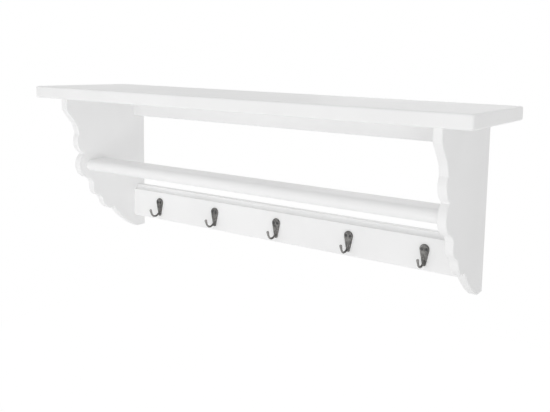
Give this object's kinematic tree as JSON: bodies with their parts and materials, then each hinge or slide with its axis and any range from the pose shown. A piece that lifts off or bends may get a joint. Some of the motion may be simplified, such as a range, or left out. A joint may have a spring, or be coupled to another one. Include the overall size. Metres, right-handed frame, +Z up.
{
  "type": "wall shelf with hook rail",
  "caption": "White painted wall shelf with scalloped side brackets, an open bay, a front rail and a lower board that carries a row of dark metal coat hooks.",
  "frame": {"origin": "middle of the shelf board's back edge, on the wall plane", "axes": "+X to the viewer's right along the shelf, +Y into the wall, +Z up"},
  "size_m": [0.8, 0.2, 0.277],
  "materials": {
    "white_paint": "satin white paint on board",
    "beech": "plain sanded beech",
    "antique_iron": "dark antiqued metal, semi-matt",
    "dark_screw": "dark antiqued screw",
    "zinc_plate": "bright zinc plating"
  },
  "bodies": {
    "root": {"top_shelf": "white_paint", "side_panel_left": "white_paint", "side_panel_right": "white_paint", "upper_back_rail": "white_paint", "front_rail": "white_paint", "hook_board": "white_paint", "rail_dowels_left": "beech", "rail_dowels_right": "beech", "shelf_dowels": "beech", "coat_hook_1": "antique_iron", "hook_screws_1": "dark_screw", "coat_hook_2": "antique_iron", "hook_screws_2": "dark_screw", "coat_hook_3": "antique_iron", "hook_screws_3": "dark_screw", "coat_hook_4": "antique_iron", "hook_screws_4": "dark_screw", "coat_hook_5": "antique_iron", "hook_screws_5": "dark_screw", "hanger_plate_left": "zinc_plate", "hanger_screws_left": "zinc_plate", "hanger_plate_right": "zinc_plate", "hanger_screws_right": "zinc_plate"}
  },
  "joints": []
}
